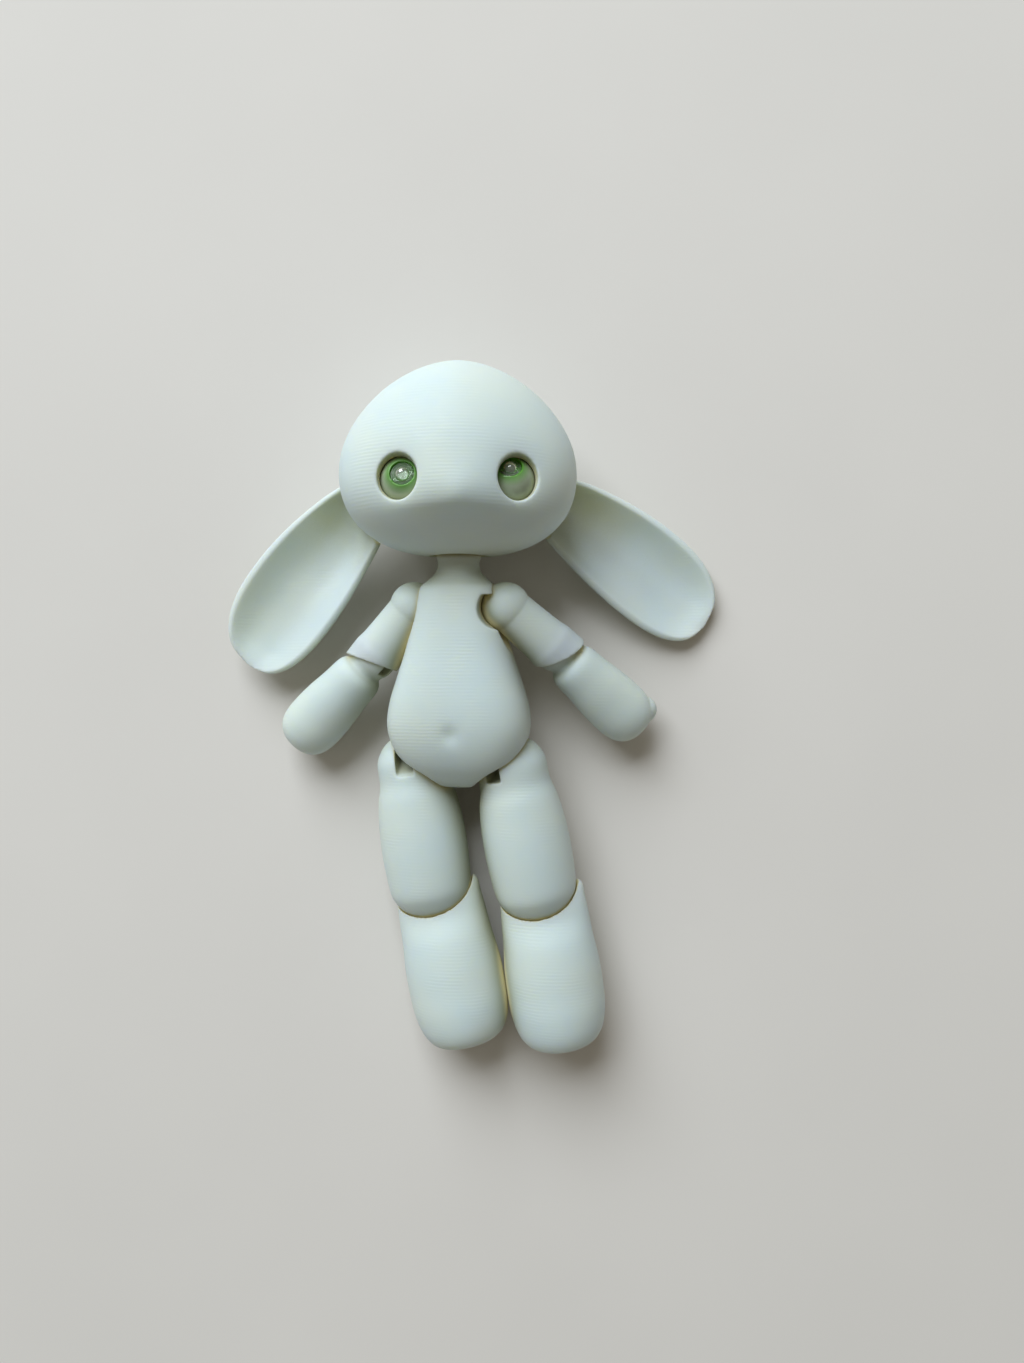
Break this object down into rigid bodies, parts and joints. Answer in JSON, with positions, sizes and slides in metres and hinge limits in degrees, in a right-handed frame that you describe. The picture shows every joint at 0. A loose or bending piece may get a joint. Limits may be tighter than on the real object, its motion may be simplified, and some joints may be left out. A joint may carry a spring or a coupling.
{
  "type": "ball jointed doll",
  "caption": "Small white resin ball jointed rabbit doll with long scooped lop ears and green eyes, strung on elastic so that its head and limbs pose, lying on its back.",
  "frame": {"origin": "middle of the bounding box in X and Y, on the surface that the doll lies on", "axes": "+X to the doll's left, +Y from its feet to its crown, +Z out of its face, away from the surface it lies on"},
  "size_m": [0.052, 0.07, 0.0193],
  "materials": {
    "resin": "matte cast resin, slightly translucent",
    "elastic": "woven round elastic",
    "steel": "drawn wire",
    "magnet": "nickel plated",
    "putty": "soft setting putty",
    "eye_white": "polished",
    "iris": "printed disc",
    "lens": "clear and polished"
  },
  "bodies": {
    "torso": {"torso": "resin", "arm_cord_in_torso": "elastic", "leg_cord_in_torso": "elastic"},
    "neck": {"neck_cord": "elastic"},
    "head": {"head_shell": "resin", "neck_hook": "steel", "neck_hook_loop": "elastic", "ear_cord": "elastic", "head_magnet_right": "magnet", "head_magnet_left": "magnet", "eye_white_right": "eye_white", "eye_iris_right": "iris", "eye_dome_right": "lens", "eye_putty_right": "putty", "eye_white_left": "eye_white", "eye_iris_left": "iris", "eye_dome_left": "lens", "eye_putty_left": "putty"},
    "head_cap": {"head_cap": "resin", "cap_magnet_right": "magnet", "cap_magnet_left": "magnet"},
    "ear_right": {"ear_right": "resin"},
    "ear_left": {"ear_left": "resin"},
    "shoulder_right": {"shoulder_cord_right": "elastic"},
    "upper_arm_right": {"upper_arm_right": "resin", "upper_arm_cord_right": "elastic"},
    "forearm_right": {"forearm_right": "resin", "forearm_cord_right": "elastic", "wrist_pin_right": "steel"},
    "shoulder_left": {"shoulder_cord_left": "elastic"},
    "upper_arm_left": {"upper_arm_left": "resin", "upper_arm_cord_left": "elastic"},
    "forearm_left": {"forearm_left": "resin", "forearm_cord_left": "elastic", "wrist_pin_left": "steel"},
    "hip_right": {"hip_cord_right": "elastic"},
    "thigh_right": {"thigh_right": "resin", "thigh_cord_right": "elastic"},
    "shin_right": {"lower_leg_right": "resin", "lower_leg_cord_right": "elastic", "ankle_pin_right": "steel"},
    "hip_left": {"hip_cord_left": "elastic"},
    "thigh_left": {"thigh_left": "resin", "thigh_cord_left": "elastic"},
    "shin_left": {"lower_leg_left": "resin", "lower_leg_cord_left": "elastic", "ankle_pin_left": "steel"}
  },
  "joints": [
    {"name": "neck_turn", "type": "hinge", "parent": "torso", "child": "neck", "pos_m": [-0.00136, 0.01769, 0.00842], "axis": [0, 0.9959, 0.0906], "range_deg": [-40, 40]},
    {"name": "neck_nod", "type": "hinge", "parent": "neck", "child": "head", "pos_m": [-0.00136, 0.01769, 0.00842], "axis": [0.9992, 0, -0.0401], "range_deg": [-10, 10]},
    {"name": "cap_slide", "type": "slide", "parent": "head", "child": "head_cap", "axis": [-0.0364, 0.4226, -0.9056], "range_m": [0, 0.008]},
    {"name": "ear_flap_right", "type": "hinge", "parent": "head", "child": "ear_right", "pos_m": [-0.00977, 0.02264, 0.00575], "axis": [-0.7841, 0.6198, 0.0315], "range_deg": [-10, 10]},
    {"name": "ear_flap_left", "type": "hinge", "parent": "head", "child": "ear_left", "pos_m": [0.00681, 0.02264, 0.00509], "axis": [-0.5971, -0.8018, 0.024], "range_deg": [-10, 10]},
    {"name": "shoulder_swing_right", "type": "hinge", "parent": "torso", "child": "shoulder_right", "pos_m": [-0.00599, 0.01092, 0.00666], "axis": [0.9877, -0.0142, 0.1558], "range_deg": [-90, 10]},
    {"name": "shoulder_raise_right", "type": "hinge", "parent": "shoulder_right", "child": "upper_arm_right", "pos_m": [-0.00599, 0.01092, 0.00666], "axis": [0.1564, 0.0895, -0.9836], "range_deg": [0, 10]},
    {"name": "elbow_right", "type": "hinge", "parent": "upper_arm_right", "child": "forearm_right", "pos_m": [-0.01025, 0.00566, 0.00534], "axis": [-0.4642, 0.2183, 0.8584], "range_deg": [0, 30]},
    {"name": "shoulder_swing_left", "type": "hinge", "parent": "torso", "child": "shoulder_left", "pos_m": [0.00339, 0.01079, 0.00814], "axis": [-0.9877, 0.0142, -0.1558], "range_deg": [-10, 90]},
    {"name": "shoulder_raise_left", "type": "hinge", "parent": "shoulder_left", "child": "upper_arm_left", "pos_m": [0.00339, 0.01079, 0.00814], "axis": [-0.1564, -0.0895, 0.9836], "range_deg": [0, 35]},
    {"name": "elbow_left", "type": "hinge", "parent": "upper_arm_left", "child": "forearm_left", "pos_m": [0.0085, 0.0065, 0.00635], "axis": [-0.0186, 0.3532, -0.9354], "range_deg": [0, 35]},
    {"name": "hip_spread_right", "type": "hinge", "parent": "torso", "child": "hip_right", "pos_m": [-0.00639, -0.00582, 0.00416], "axis": [0.1564, 0.0895, -0.9836], "range_deg": [0, 30]},
    {"name": "hip_flex_right", "type": "hinge", "parent": "hip_right", "child": "thigh_right", "pos_m": [-0.00639, -0.00582, 0.00416], "axis": [0.9888, 0.1495, 0], "range_deg": [-10, 0]},
    {"name": "knee_right", "type": "hinge", "parent": "thigh_right", "child": "shin_right", "pos_m": [-0.00463, -0.01744, 0.00424], "axis": [0.9864, 0.1487, -0.0698], "range_deg": [0, 60]},
    {"name": "hip_spread_left", "type": "hinge", "parent": "torso", "child": "hip_left", "pos_m": [0.00408, -0.00597, 0.00581], "axis": [-0.1564, -0.0895, 0.9836], "range_deg": [0, 30]},
    {"name": "hip_flex_left", "type": "hinge", "parent": "hip_left", "child": "thigh_left", "pos_m": [0.00408, -0.00597, 0.00581], "axis": [-0.981, -0.1942, 0], "range_deg": [0, 30]},
    {"name": "knee_left", "type": "hinge", "parent": "thigh_left", "child": "shin_left", "pos_m": [0.00636, -0.01748, 0.00527], "axis": [0.8997, 0.1593, 0.4063], "range_deg": [0, 40]}
  ]
}
